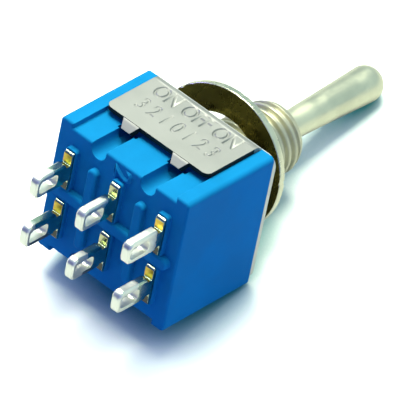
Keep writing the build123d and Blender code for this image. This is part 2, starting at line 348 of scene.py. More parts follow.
def bump(tree, height, strength, distance, normal):
    """Turns a height into a normal on top of another normal."""
    inputs = {"Height": height, "Strength": strength, "Distance": distance, "Normal": normal}
    return add_node(tree, "ShaderNodeBump", inputs).outputs[0]


def object_place(tree):
    """The place on the object, in the object's own metres."""
    return add_node(tree, "ShaderNodeTexCoord").outputs["Object"]


def surface_facing(tree):
    """The direction that the surface faces."""
    return add_node(tree, "ShaderNodeNewGeometry").outputs["Normal"]


def split(tree, vector):
    """The X, Y and Z of a vector."""
    return add_node(tree, "ShaderNodeSeparateXYZ", {0: vector}).outputs


def dot(tree, first, second):
    """The dot product of two vectors, which for unit vectors is the cosine between them."""
    inputs = {0: first, 1: second}
    node = add_node(tree, "ShaderNodeVectorMath", inputs, operation="DOT_PRODUCT")
    return node.outputs["Value"]


def toned(colour, factor):
    """A colour made darker or lighter by a factor, and held at white."""
    return [min(1, channel * factor) for channel in colour]


def start_material(name, **values):
    """A new material with its tree and its shader, whose sockets get plain values."""
    material = bpy.data.materials.new(name)
    material.use_nodes = True
    tree = material.node_tree
    shader = tree.nodes["Principled BSDF"]
    for key, value in values.items():
        shader.inputs[key.replace("_", " ")].default_value = value
    return material, tree, shader


def link_shader(tree, shader, **values):
    """Links values that change over the surface to the shader's sockets."""
    for key, value in values.items():
        tree.links.new(value, shader.inputs[key.replace("_", " ")])


def place_group(tree, group, **values):
    """Puts a shader group in a material with its own values, and gives its outputs."""
    node = add_node(tree, "ShaderNodeGroup", node_tree=group)
    for key, value in values.items():
        node.inputs[key.replace("_", " ")].default_value = value
    return node.outputs


def new_group(name, inputs, outputs):
    """A shader node group with its inputs (name, type, default) and outputs (name, type)."""
    group = bpy.data.node_groups.new(name, "ShaderNodeTree")
    for label, kind, default in inputs:
        socket = group.interface.new_socket(label, in_out="INPUT", socket_type=kind)
        socket.default_value = default
    for label, kind in outputs:
        group.interface.new_socket(label, in_out="OUTPUT", socket_type=kind)
    return group, group.nodes.new("NodeGroupInput").outputs, group.nodes.new("NodeGroupOutput")


def fine_grain():
    """Fine even pits of a moulding or a satin plating, and slow patches of tone."""
    group, given, result = new_group(
        "Fine grain",
        [("Scale", FLOAT, 9000.0), ("Patch scale", FLOAT, 300.0)],
        [("Height", FLOAT), ("Patches", FLOAT)],
    )
    place = object_place(group)
    pits = noise(group, place, given["Scale"], detail=3.0, roughness=0.6)
    patches = noise(group, place, given["Patch scale"], detail=4.0, roughness=0.55)
    group.links.new(pits, result.inputs["Height"])
    group.links.new(ramp(group, patches, 0.3, 0.7), result.inputs["Patches"])
    return group


def worn_and_highlit_edges():
    """Normals rounded over edges, and a mask of the edges where the finish is rubbed, which the
    finishes also use as a painted edge highlight.

    A place is on an edge where the cosine between its rounded normal and its own one falls from
    away_from_edge to on_edge. A noise breaks the mask up.
    """
    away_from_edge, on_edge = 0.995, 0.88
    group, given, result = new_group(
        "Worn edges",
        [("Radius", FLOAT, 0.09 * MM), ("Break up", FLOAT, 0.5)],
        [("Normal", VECTOR), ("Mask", FLOAT)],
    )
    rounded = add_node(group, "ShaderNodeBevel", {"Radius": given["Radius"]}, samples=6).outputs[0]
    edge = ramp(group, dot(group, rounded, surface_facing(group)), away_from_edge, on_edge)
    rubbing = noise(group, object_place(group), 1600.0, detail=3.0)
    rubbed = ramp(group, rubbing, given["Break up"], 0.75)
    group.links.new(rounded, result.inputs["Normal"])
    group.links.new(product(group, edge, rubbed), result.inputs["Mask"])
    return group


def turned_rings():
    """Fine rings that a lathe leaves round the X axis, shifted along it by a slow noise.

    The height is a noise of x + 0.2 mm times the break-up times the slow noise, times the scale.
    """
    group, given, result = new_group(
        "Turned rings",
        [("Scale", FLOAT, 9000.0), ("Break up", FLOAT, 0.3)],
        [("Height", FLOAT)],
    )
    place = object_place(group)
    wander = noise(group, place, scale=700.0)
    reach = maths(group, "MULTIPLY", given["Break up"], 0.2 * MM)
    along = weighted_sum(group, split(group, place)["X"], (wander, reach))
    line = add_node(
        group,
        "ShaderNodeTexNoise",
        {"W": product(group, along, given["Scale"]), "Scale": 1.0, "Detail": 2.0},
        noise_dimensions="1D",
    )
    group.links.new(line.outputs[0], result.inputs["Height"])
    return group


def tumbled_scratches():
    """Short fine scratches in all directions, from parts that tumbled in one plating barrel.

    Three noises are turned, shifted and squeezed to streaks, and their highest parts are scratches.
    """
    squeeze = (1.0, 14.0, 3.0)
    unmarked, scratched = 0.64, 0.72
    group, given, result = new_group(
        "Tumbled scratches",
        [("Scale", FLOAT, 900.0), ("Amount", FLOAT, 0.5)],
        [("Mask", FLOAT)],
    )
    place = object_place(group)
    scratches = 0.0
    for turn, shift in ((0.3, 0.0), (1.4, 5.0), (2.5, 9.0)):
        turned = add_node(
            group,
            "ShaderNodeMapping",
            {
                "Vector": place,
                "Location": (shift, 0, 0),
                "Rotation": (turn, turn * 0.7, turn * 1.3),
                "Scale": squeeze,
            },
        )
        streaks = noise(group, turned.outputs[0], given["Scale"], detail=1.0)
        lines = ramp(group, streaks, unmarked, scratched)
        scratches = maths(group, "MAXIMUM", scratches, lines)
    group.links.new(product(group, scratches, given["Amount"]), result.inputs["Mask"])
    return group


def lug_masks(tree, patches):
    """Masks of a lug's bare, painted shade and bright places, from where they are and how they
    face.

    Heights are above the middle of the lug's own row. Bare brass is a band of the upper ear's end
    face, which the patches make ragged, and fainter on the middle lugs. Painted shade darkens the
    lower ear's end face. Bright are the eye's walls, and what was dipped: there x + 0.5 mm times
    the patches - 0.2 z + 0.15 y is beyond the dip line.
    """
    ear_limit, eye_limit = TERMINAL_FACE - 0.8 * MM, TERMINAL_FACE - 1.7 * MM
    dip_start, dip_line = TERMINAL_FACE - 2.0 * MM, TERMINAL_FACE - 2.4 * MM
    bare_low, bare_high, stain_top, eye_half = 0.82 * MM, 1.62 * MM, -0.9 * MM, 0.6 * MM
    spot = split(tree, object_place(tree))
    facing = split(tree, surface_facing(tree))
    row = maths(tree, "MULTIPLY", maths(tree, "SIGN", spot["Z"]), ROW_HEIGHT)
    height = maths(tree, "SUBTRACT", spot["Z"], row)
    looks_out = below(tree, facing["X"], -0.8)
    looks_along_row = unsigned(tree, facing["Y"])
    ear_end = product(tree, looks_out, above(tree, spot["X"], ear_limit))

    ragged = weighted_sum(tree, height, (patches, 0.12 * MM))
    band = product(tree, above(tree, ragged, bare_low), below(tree, ragged, bare_high))
    outer_lug = ramp(tree, unsigned(tree, spot["Y"]), 1.5 * MM, 3.5 * MM, 0.35, 1.0)
    bare = product(tree, ear_end, band, outer_lug)
    # Painted shade: a mask of the lower ear's end face, which the colour darkens to nearly black.
    painted_shade = product(tree, ear_end, below(tree, height, stain_top))

    dip = weighted_sum(tree, spot["X"], (patches, 0.5 * MM), (spot["Z"], -0.2), (spot["Y"], 0.15))
    dipped = ramp(tree, dip, dip_start, dip_line)
    in_eye = product(
        tree,
        below(tree, looks_along_row, 0.5),
        below(tree, unsigned(tree, height), eye_half),
        below(tree, spot["X"], eye_limit),
    )
    return bare, painted_shade, maths(tree, "MAXIMUM", dipped, in_eye)


class Finishes:
    """The shader groups, built once, and the kinds of material made with them."""

    def __init__(self, sizes, colours):
        """Builds the groups for the given sizes and colours."""
        self.sizes = sizes
        self.colours = colours
        self.grain = fine_grain()
        self.edges = worn_and_highlit_edges()
        self.rings = turned_rings()
        self.scratches = tumbled_scratches()

    def moulded(self, name, colour, lift=1.5, roughness=0.55):
        """A moulded plastic: one colour with slow patches, fine pits, and pale edges that are
        partly rubbed wear and partly a painted edge highlight.
        """
        material, tree, shader = start_material(name, Specular_IOR_Level=0.02)
        edges = place_group(tree, self.edges, Radius=self.sizes.edge_radius, Break_up=0.35)
        grain = place_group(tree, self.grain, Scale=9000.0, Patch_scale=260.0)
        pit_depth = 0.004 * MM
        # The pale edge colour is partly rubbed wear and partly a painted edge highlight.
        rubbed = [channel + 0.01 for channel in toned(colour, lift)]
        body = mix(tree, grain["Patches"], toned(colour, 0.94), toned(colour, 1.06))
        link_shader(
            tree,
            shader,
            Base_Color=mix(tree, edges["Mask"], body, rubbed),
            Roughness=ramp(tree, grain["Patches"], 0, 1, roughness - 0.04, roughness + 0.05),
            Normal=bump(tree, grain["Height"], 0.5, pit_depth, edges["Normal"]),
        )
        return material

    def plated(
        self, name, colour, roughness, ring_depth=0.0, scratched=0.4, edge_radius=None, back=None
    ):
        """A plated metal with slow patches of tone, scratches, and the rings of a lathe.

        Faces that look back along -X take the colour of back, if there is one, as a painted dark
        reflection.
        """
        sideways, backwards = -0.75, -0.9
        material, tree, shader = start_material(name, Metallic=1.0)
        edge_radius = edge_radius or self.sizes.edge_radius
        edges = place_group(tree, self.edges, Radius=edge_radius, Break_up=0.3)
        grain = place_group(tree, self.grain, Scale=14000.0, Patch_scale=420.0)
        marks = place_group(tree, self.scratches, Scale=700.0, Amount=scratched)
        grain_depth, mark_depth = 0.002 * MM, 0.002 * MM
        body = mix(tree, grain["Patches"], toned(colour, 0.9), toned(colour, 1.08))
        if back is not None:
            # Painted shade: faces that look back along -X get the dark colour of back, a painted
            # dark reflection.
            painted_dark_back_mask = ramp(tree, split(tree, surface_facing(tree))["X"], sideways, backwards)
            body = mix(tree, painted_dark_back_mask, body, back)
        rough = ramp(tree, grain["Patches"], 0, 1, roughness - 0.05, roughness + 0.06)
        normal = bump(tree, grain["Height"], 0.5, grain_depth, edges["Normal"])
        if ring_depth:
            turned = place_group(tree, self.rings, Scale=11000.0, Break_up=0.3)
            normal = bump(tree, turned["Height"], 0.6, ring_depth, normal)
        link_shader(
            tree,
            shader,
            # Brighter edges: partly rubbed wear, partly a painted edge highlight.
            Base_Color=mix(tree, edges["Mask"], body, toned(colour, 1.2)),
            Roughness=weighted_sum(tree, rough, (marks["Mask"], 0.15)),
            Normal=bump(tree, marks["Mask"], -0.4, mark_depth, normal),
        )
        return material

    def sheet_metal(self, name, colour):
        """Satin plated sheet: a painted highlight brightens the end plate, and painted shade
        darkens the strap's sheared edges.

        The end plate is in front of the bend. A sheared edge is on the strap, behind the bend,
        where the sheet's face is within about 20 degrees of upright.
        """
        plate_start, strap_start, upright = CASE_MOUTH - 0.3 * MM, CASE_MOUTH - 0.9 * MM, 0.35
        material, tree, shader = start_material(name, Metallic=1.0)
        edges = place_group(tree, self.edges, Radius=0.05 * MM, Break_up=0.3)
        grain = place_group(tree, self.grain, Scale=14000.0, Patch_scale=420.0)
        marks = place_group(tree, self.scratches, Scale=700.0, Amount=0.2)
        grain_depth, mark_depth = 0.002 * MM, 0.002 * MM
        along = split(tree, object_place(tree))["X"]
        upwards = split(tree, surface_facing(tree))["Z"]
        # Painted highlight: the end plate is the strap's own plating made twice as bright.
        plate_painted_highlight = above(tree, along, plate_start)
        on_strap = below(tree, along, strap_start)
        # Painted shade: the strap's sheared edges are darkened to a tenth of the plating.
        sheared = product(tree, below(tree, unsigned(tree, upwards), upright), on_strap)
        body = mix(tree, grain["Patches"], toned(colour, 0.93), toned(colour, 1.06))
        body = mix(tree, plate_painted_highlight, body, toned(colour, 2))
        normal = bump(tree, grain["Height"], 0.5, grain_depth, edges["Normal"])
        link_shader(
            tree,
            shader,
            Base_Color=mix(tree, sheared, body, toned(colour, 0.1)),
            Roughness=ramp(tree, grain["Patches"], 0, 1, 0.56, 0.66),
            Normal=bump(tree, marks["Mask"], -0.4, mark_depth, normal),
        )
        return material

    def tinned(self, name):
        """Tin-plated brass: dull near the case, bright where dipped, bare at the upper ear, and
        darkened by painted shade at the lower ear.
        """
        material, tree, shader = start_material(name, Metallic=1.0)
        edges = place_group(tree, self.edges, Radius=self.sizes.edge_radius, Break_up=0.3)
        grain = place_group(tree, self.grain, Scale=5000.0, Patch_scale=900.0)
        marks = place_group(tree, self.scratches, Scale=900.0, Amount=0.6)
        grain_depth, mark_depth = 0.012 * MM, 0.004 * MM
        dull_dark, dull_light = (0.44, 0.54, 0.38), (0.56, 0.66, 0.48)
        tin, brass = self.colours.lug_tin, self.colours.lug_brass
        bare, painted_shade, bright = lug_masks(tree, grain["Patches"])
        colour = mix(tree, grain["Patches"], dull_dark, dull_light)
        colour = mix(tree, bright, colour, tin)
        # Painted shade on the lower ear's end face: tin darkened to nearly black.
        colour = mix(tree, painted_shade, colour, toned(tin, 0.08))
        metal = mix(tree, grain["Patches"], toned(brass, 0.75), toned(brass, 1.15))
        rough = ramp(tree, grain["Patches"], 0, 1, 0.12, 0.2)
        normal = bump(tree, grain["Height"], 0.5, grain_depth, edges["Normal"])
        link_shader(
            tree,
            shader,
            Base_Color=mix(tree, bare, colour, metal),
            Roughness=weighted_sum(tree, rough, (bright, 0.2), (bare, 0.2)),
            Normal=bump(tree, marks["Mask"], -0.5, mark_depth, normal),
        )
        return material


@cache
def finishes():
    """The finishes that all operators of one run share."""
    scene = bpy.context.scene
    return Finishes(scene.switch_sizes, scene.switch_colours)


def lettering(words, height, reach, width=None):
    """A solid mesh of words, centred, in the XY plane, with capitals of the given height.

    Its strokes are widest in that plane and slope in towards both faces, reach away from it. Their
    outline is first drawn in by a share of reach, so that the slopes leave them slim. Where a width
    is given, the words are squeezed or stretched to it.
    """
    capital_share, drawn_in = 0.7, 0.4
    text = bpy.data.curves.new("words", "FONT")
    text.body = words
    text.align_x = "CENTER"
    text.size = height / capital_share
    text.offset = -reach * drawn_in
    text.bevel_depth = reach
    text.bevel_resolution = 0
    text.resolution_u = 4
    holder = bpy.data.objects.new("words", text)
    bpy.context.scene.collection.objects.link(holder)
    mesh = finished_mesh(holder)
    bpy.data.objects.remove(holder)
    points = np.empty(len(mesh.vertices) * 3, np.float32)
    mesh.vertices.foreach_get("co", points)
    points = points.reshape(-1, 3)
    points[:, :2] -= (points[:, :2].min(0) + points[:, :2].max(0)) / 2
    if width:
        points[:, 0] *= width / (2 * points[:, 0].max())
    mesh.vertices.foreach_set("co", points.ravel())
    return mesh


def set_upright(mesh, middle, across, up):
    """Moves flat lettering so that it reads along across, with up upwards, about middle."""
    out = across.cross(up)
    turn = Matrix((across, up, out)).transposed().to_4x4()
    mesh.transform(Matrix.Translation(middle) @ turn)


def finished_mesh(piece):
    """A mesh of a piece as its text settings or its modifiers make it."""
    bpy.context.view_layer.update()
    ready = piece.evaluated_get(bpy.context.evaluated_depsgraph_get())
    return bpy.data.meshes.new_from_object(ready)


def shade_flat_faces(mesh):
    """Shades the faces that look along an axis flat, and the bends between them smooth."""
    along_axis = 0.9999
    mesh.shade_smooth()
    mesh.set_sharp_from_angle(angle=radians(30))
    normals = np.empty(len(mesh.polygons) * 3, np.float32)
    mesh.polygons.foreach_get("normal", normals)
    level = np.abs(normals.reshape(-1, 3)).max(axis=1) > along_axis
    mesh.polygons.foreach_set("use_smooth", ~level)


class SWITCH_OT_case(bpy.types.Operator):
    """Finish the moulded case and add the number moulded beside its middle lug"""

    bl_idname = "switch.case"
    bl_label = "Case"

    def execute(self, context):
        """Coats the case and builds the raised number on its terminal face."""
        made = finishes()
        plastic = made.moulded("Blue plastic", made.colours.case_blue)
        coat("case", plastic)
        number = lettering("2", height=1.65 * MM, reach=0.17 * MM)
        across, up = Vector((0, 0, -1)), Vector((0, -1, 0))
        middle = Vector((TERMINAL_FACE, -0.12 * MM, 4.82 * MM))
        set_upright(number, middle, across, up)
        dress(settled("case_number", number), plastic, "housing", "case_plastic")
        return {"FINISHED"}


class SWITCH_OT_frame(bpy.types.Operator):
    """Stamp the strap of the folded frame and give it its satin plating"""

    bl_idname = "switch.frame_sheet"
    bl_label = "Frame"

    def execute(self, context):
        """Cuts two lines of marks into a copy of the frame, on its upper leg.

        Each line has its words, its place along X, its share of the stamp's depth, and its width.
        """
        made = finishes()
        sizes = made.sizes
        sheet = settled("frame_sheet", frame["nodes"]["frame"].data.copy())
        across, up = Vector((0, -1, 0)), Vector((1, 0, 0))
        lines = (
            (sizes.first_line, -5.5 * MM, 1.0, 8.5 * MM),
            (sizes.second_line, -7.7 * MM, 0.7, 7.8 * MM),
        )
        for words, along, depth_share, width in lines:
            mesh = lettering(words, sizes.letter_height, depth_share * sizes.stamp_depth, width)
            set_upright(mesh, Vector((along, 0, LEG_FACE)), across, up)
            cutter = settled("stamp", mesh)
            carve = sheet.modifiers.new("Stamp", "BOOLEAN")
            carve.object = cutter
            carve.operation = "DIFFERENCE"
            carve.solver = "EXACT"
            stamped = finished_mesh(sheet)
            sheet.modifiers.clear()
            sheet.data = stamped
            bpy.data.objects.remove(cutter)
        shade_flat_faces(sheet.data)
        plating = made.sheet_metal("Frame plating", made.colours.strap_nickel)
        dress(sheet, plating, "housing", "frame_sheet", "frame")
        return {"FINISHED"}


def bushing_thread(pitch, depth):
    """Angles and points of the bushing's outside, a row of points for each angle.

    The radius is the crest's less the thread's depth times one less its height, and never more than
    the chamfer, which falls evenly to the bushing's end. The first three rows are the keyway: there
    y stops at its floor, and z is its half width either way.
    """
    crest = 3.0 * MM
    keyway_half, keyway_floor = 0.45 * MM, 2.5 * MM
    chamfer, chamfer_length, chamfer_clearance = 0.36 * MM, 0.75 * MM, 0.02 * MM
    steps_in_pitch, rows_round = 18, 150
    steps = int((BUSHING_END - PLATE_FACE) / pitch * steps_in_pitch)
    x = np.linspace(PLATE_FACE, BUSHING_END, steps)
    edge = asin(keyway_half / crest)
    foot = atan2(keyway_half, keyway_floor)
    keyway = [-foot, 0, foot]
    angles = np.concatenate([keyway, np.linspace(edge, 2 * np.pi - edge, rows_round)])
    turn = angles[:, None]
    in_keyway = np.arange(len(angles)) < len(keyway)
    into_chamfer = np.clip(x - (BUSHING_END - chamfer_length), 0, None)
    bevel = crest + chamfer_clearance - into_chamfer * chamfer / chamfer_length
    radius = np.minimum(crest - depth * (1 - thread_height(x, turn, pitch)), bevel)
    y = radius * np.cos(turn)
    y[in_keyway] = np.minimum(y[in_keyway], keyway_floor)
    z = np.where(in_keyway[:, None], keyway_half * np.sign(turn), radius * np.sin(turn))
    return angles, np.stack([x + 0 * y, y, z], axis=-1)


def bushing_bore():
    """Profile (x, r) of the bushing's inside and its flange, from the mouth to the shank."""
    seat_x = PIVOT + 1.22 * MM
    mouth, mouth_chamfer, bore, socket = 2.0 * MM, 0.1 * MM, 1.6 * MM, 2.03 * MM
    flange, flange_bore, shank = 3.8 * MM, 2.3 * MM, 2.6 * MM
    return np.array(
        [
            (BUSHING_END, mouth),
            (BUSHING_END - mouth_chamfer, mouth - mouth_chamfer),
            (seat_x, bore),
            (seat_x, socket),
            (PLATE_FACE, socket),
            (BUSHING_START, flange_bore),
            (BUSHING_START, flange),
            (CASE_MOUTH, flange),
            (CASE_MOUTH, shank),
        ]
    )


class SWITCH_OT_bushing(bpy.types.Operator):
    """Turn the bushing with its helical thread and its keyway"""

    bl_idname = "switch.bushing"
    bl_label = "Bushing"

    def execute(self, context):
        """Joins the threaded outside and the turned bore to a closed ring of profiles."""
        made = finishes()
        angles, outside = bushing_thread(made.sizes.thread_pitch, made.sizes.thread_depth)
        points = np.concatenate([outside, around(bushing_bore(), angles)], 1)
        piece = skin("bushing_thread", points, True, True, radians(40))
        # Painted shade: the bushing is the lever's nickel made darker.
        painted_shade_nickel = toned(made.colours.lever_nickel, 0.75)
        plating = made.plated(
            "Bushing plating", painted_shade_nickel, roughness=0.42, ring_depth=0.004 * MM
        )
        dress(piece, plating, "housing", "bushing_plating", "bushing")
        return {"FINISHED"}


class SWITCH_OT_nut(bpy.types.Operator):
    """Form the hex nut with its chamfered corners and threaded bore"""

    bl_idname = "switch.nut"
    bl_label = "Nut"

    def execute(self, context):
        """Builds the nut as a closed ring of profiles, one for each angle.

        The radius is half the width across the flats over the cosine of the angle from the nearest
        flat's middle. Past a round just over the flats it is chamfered at 30 degrees. The bore's
        radius is its largest less the thread's depth times one less its height.
        """
        made = finishes()
        pitch, depth = made.sizes.thread_pitch, made.sizes.thread_depth
        low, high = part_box("hex_nut")
        half_flats = (high.z - low.z) / 2
        chamfer_start, chamfer_slope = half_flats * 1.02, tan(radians(30))
        bore, flare, flare_length = 3.03 * MM, 3.15 * MM, 0.15 * MM
        half_side, thread_steps = np.pi / 6, 36
        turn = full_turn(144)[:, None]
        from_flat = np.mod(turn - np.pi / 2 + half_side, 2 * half_side) - half_side
        corner = half_flats / np.cos(from_flat)
        rim = np.minimum(corner, chamfer_start)
        chamfer = np.clip(corner - chamfer_start, 0, None) * chamfer_slope
        thread_x = np.linspace(low.x + flare_length, high.x - flare_length, thread_steps)[::-1]
        thread = bore - depth * (1 - thread_height(thread_x, turn, pitch))
        same = np.ones_like(turn)
        profiles = (
            (low.x * same, flare * same),
            (low.x * same, rim),
            (low.x + chamfer, corner),
            (high.x - chamfer, corner),
            (high.x * same, rim),
            (high.x * same, flare * same),
            (thread_x * same, thread),
        )
        x = np.hstack([place for place, reach in profiles])
        radius = np.hstack([reach for place, reach in profiles])
        points = np.stack([x, radius * np.cos(turn), radius * np.sin(turn)], axis=-1)
        piece = skin("hex_nut_body", points, True, True)
        plating = made.plated("Nut plating", made.colours.lever_nickel, roughness=0.25)
        dress(piece, plating, "housing", "nut_plating", "hex_nut")
        return {"FINISHED"}


class SWITCH_OT_washer(bpy.types.Operator):
    """Stamp the loose washer with its rolled rim and its nicks"""

    bl_idname = "switch.washer"
    bl_label = "Washer"

    def execute(self, context):
        """Turns the washer's rounded section, dents its rim, and leans it on the nut.

        A nick draws the rim in by its depth times exp(-(gap / nick_width)^2), where gap is the
        angle from the nick's middle.
        """
        made = finishes()
        outer, bore, thick, roll = 6.0 * MM, 3.64 * MM, 0.65 * MM, 0.12 * MM
        quarter = np.pi / 2
        profile = np.vstack(
            [
                arc((roll, outer - roll), roll, 2 * quarter, quarter, 6),
                arc((thick - roll, outer - roll), roll, quarter, 0, 6),
                arc((thick - roll, bore + roll), roll, 0, -quarter, 6),
                arc((roll, bore + roll), roll, -quarter, -2 * quarter, 6),
            ]
        )
        angles = full_turn(300)
        points = around(profile, angles)
        on_rim = profile[:, 1] > outer - 2 * roll
        nick_width = radians(1.3)
        nicks = (
            (41, 0.10 * MM),
            (52, 0.05 * MM),
            (-12, 0.07 * MM),
            (-38, 0.06 * MM),
            (96, 0.05 * MM),
            (171, 0.08 * MM),
            (250, 0.06 * MM),
        )
        for degrees, depth in nicks:
            gap = np.angle(np.exp(1j * (angles - radians(degrees))))
            dent = 1 - depth / outer * np.exp(-((gap / nick_width) ** 2))
            points[:, on_rim, 1:] *= dent[:, None, None]
        lean = Vector((1, 0.066, -0.083)).normalized()
        centre = Vector((PLATE_FACE + 2.26 * MM, 0.50 * MM, 0.37 * MM))
        turned = np.array(Vector((1, 0, 0)).rotation_difference(lean).to_matrix())
        piece = skin("washer_ring", points @ turned.T + np.array(centre), True, True)
        plating = made.plated(
            "Washer plating",
            made.colours.lever_nickel,
            roughness=0.24,
            scratched=0.7,
            edge_radius=0.05 * MM,
            back=made.colours.washer_painted_dark_back,
        )
        dress(piece, plating, "housing", "washer_plating", "washer")
        return {"FINISHED"}


class SWITCH_OT_lever(bpy.types.Operator):
    """Turn the bat-shaped lever with its pivot ball"""

    bl_idname = "switch.lever"
    bl_label = "Lever"

    def execute(self, context):
        """Turns the lever's outline: the small drive ball, the arm, the pivot ball, the handle."""
        made = finishes()
        ball, drive, arm = 2.0 * MM, 0.95 * MM, 0.7 * MM
        neck, root, tip = 1.02 * MM, 1.07 * MM, 1.47 * MM
        drive_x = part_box("toggle_lever")[0].x + drive
        arm_end, handle_start = PIVOT - 4 * MM, PIVOT + 1.75 * MM
        outline = np.vstack(
            [
                arc((drive_x, 0), drive, np.pi, asin(arm / drive), 24),
                [(arm_end, arm)],
                arc((PIVOT, 0), ball, np.pi - asin(neck / ball), asin(root / ball), 40),
                handle_outline(root, tip, handle_start, LEVER_END),
            ]
        )
        piece = skin("lever_bat", around(outline, full_turn(128)), True, False)
        nickel = made.colours.lever_nickel
        plating = made.plated("Lever plating", nickel, roughness=0.36, ring_depth=0.003 * MM)
        dress(piece, plating, "lever", "lever_plating", "toggle_lever")
        return {"FINISHED"}


def handle_outline(root, tip, start, end):
    """Points of the lever's handle: a slow swell from its root, then a nearly round tip.

    The radius grows from the root's by the share of the way to the power bend. The tip is a quarter
    of a circle a little wider than tip, pressed back along X so that it ends at end.
    """
    widening, bend = 1.02, 1.15
    share = np.linspace(0.02, 1, 30)
    swell_end = end - tip
    radius = root + (tip * widening - root) * share**bend
    swell = np.stack([start + share * (swell_end - start), radius], 1)
    cap = arc((swell_end, 0), tip * widening, np.pi / 2, 0, 24)
    cap[:, 0] = swell_end + (cap[:, 0] - swell_end) / widening
    return np.vstack([swell, cap[1:]])


class SWITCH_OT_lugs(bpy.types.Operator):
    """Tin the solder lugs and bare the brass of their sheared ears"""

    bl_idname = "switch.lugs"
    bl_label = "Lugs"

    def execute(self, context):
        """Coats the six lugs."""
        tin = finishes().tinned("Lug plating")
        for name in frame["nodes"]:
            if "_terminal_" in name:
                coat(name, tin)
        return {"FINISHED"}


class SWITCH_OT_mechanism(bpy.types.Operator):
    """Finish the contacts, rockers, actuator, plungers and springs inside the case"""

    bl_idname = "switch.mechanism"
    bl_label = "Mechanism"

    def execute(self, context):
        """Coats each inner piece by the first start of a name that fits its own."""
        made = finishes()
        silver = made.plated("Contact silver", (0.82, 0.81, 0.78), roughness=0.2)
        strip = made.plated("Rocker silver", (0.78, 0.74, 0.62), roughness=0.3)
        wire = made.plated("Spring wire", (0.5, 0.5, 0.5), roughness=0.3)
        brass = made.plated(
            "Plunger brass", (0.72, 0.52, 0.2), roughness=0.28, ring_depth=0.003 * MM
        )
        ivory = made.moulded("Actuator plastic", (0.72, 0.68, 0.56), lift=1.1, roughness=0.5)
        kinds = (
            ("contact_", silver),
            ("rocker_", strip),
            ("plunger_spring_", wire),
            ("plunger_", brass),
            ("actuator", ivory),
        )
        for name in frame["nodes"]:
            found = next((material for start, material in kinds if name.startswith(start)), None)
            if found:
                coat(name, found)
        return {"FINISHED"}


class SWITCH_OT_stage(bpy.types.Operator):
    """Lay the pale floor under the switch, and set the lights and the camera"""

    bl_idname = "switch.stage"
    bl_label = "Stage"

    def execute(self, context):
        """Builds the floor that the frame's bend and the lever's tip touch, then lights it."""
        scene = context.scene
        lay_floor(scene, *resting_slope())
        light_sky(scene)
        hang_light(
            scene,
            "Overhead",
            place=(2 * MM, 45 * MM, 195 * MM),
            side=110 * MM,
            watts=0.75,
            colour=(1.0, 1.0, 0.84),
        )
        hang_light(
            scene,
            "Left window",
            place=(-60 * MM, 170 * MM, 60 * MM),
            side=80 * MM,
            watts=0.09,
            colour=(0.4, 0.35, 1.0),
        )
        aim_camera(scene)
        scene.view_settings.view_transform = "Standard"
        scene.view_settings.look = "None"
        scene.view_settings.exposure = 0
        return {"FINISHED"}


def resting_slope():
    """Angle of the floor along X, and a point of it, under the frame's bend and the lever's tip.

    The floor is tangent from below to two circles in the XZ plane: the outer bend of the frame's
    leg, and the round of the lever's tip. Its angle is that of the line between their centres,
    less the angle whose sine is the difference of the radii over the distance.
    """
    bend, tip, clearance = 1.24 * MM, 1.5 * MM, 0.01 * MM
    bend_centre = Vector((PLATE_FACE - bend, bend - LEG_FACE))
    tip_centre = Vector((LEVER_END - tip, 0))
    gap = tip_centre - bend_centre
    slope = atan2(gap.y, gap.x) - asin((tip - bend) / hypot(gap.x, gap.y))
    low = bend_centre + bend * Vector((sin(slope), -cos(slope)))
    return slope, Vector((low.x, 0, low.y - clearance))


def lay_floor(scene, slope, touch):
    """A wide flat sheet through a point, at the given slope along X."""
    reach = 1.2
    along = Vector((cos(slope), 0, sin(slope)))
    across = Vector((0, 1, 0))
    signs = ((-1, -1), (1, -1), (1, 1), (-1, 1))
    corners = [touch + reach * (a * along + b * across) for a, b in signs]
    mesh = bpy.data.meshes.new("floor")
    mesh.from_pydata(corners, [], [(0, 1, 2, 3)])
    mesh.materials.append(floor_finish(scene.switch_colours))
    floor = bpy.data.objects.new("floor", mesh)
    scene.collection.objects.link(floor)


def floor_finish(colours):
    """A pale floor with a painted shadow close under the switch, which isn't seen from below.

    Its colour eases from the painted shadow to the pale as the open share of the air near a place
    goes from
    0.15 to 0.8. From 0.55 to 0.95 a faint painted glow to the camera comes up and lightens the
    floor's shade. Reflections and thrown light have tones of their own.
    """
    near, full_glow = 6 * MM, 0.27
    reflected, thrown, glow = (0.53, 0.56, 0.53), (0.42, 0.40, 0.70), (0.92, 1.0, 1.0, 1)
    material, tree, shader = start_material(
        "Floor", Roughness=0.9, Specular_IOR_Level=0.1, Emission_Color=glow
    )
    air = add_node(tree, "ShaderNodeAmbientOcclusion", {"Distance": near}, samples=16).outputs["AO"]
    ray = add_node(tree, "ShaderNodeLightPath").outputs
    # Painted shadow: the floor darkens to the shadow colour where the air near it is closed in.
    colour = mix(tree, ramp(tree, air, 0.15, 0.8), colours.floor_painted_shadow, colours.floor_pale)
    colour = mix(tree, ray["Is Glossy Ray"], colour, reflected)
    colour = mix(tree, ray["Is Diffuse Ray"], colour, thrown)
    # Painted glow: the camera sees the open floor lifted by an emission.
    strength = product(tree, ramp(tree, air, 0.55, 0.95, 0.0, full_glow), ray["Is Camera Ray"])
    link_shader(tree, shader, Base_Color=colour, Emission_Strength=strength)
    from_below = add_node(tree, "ShaderNodeNewGeometry").outputs["Backfacing"]
    clear = add_node(tree, "ShaderNodeBsdfTransparent").outputs[0]
    either = add_node(tree, "ShaderNodeMixShader", {0: from_below, 1: shader.outputs[0], 2: clear})
    tree.links.new(either.outputs[0], tree.nodes["Material Output"].inputs["Surface"])
    return material


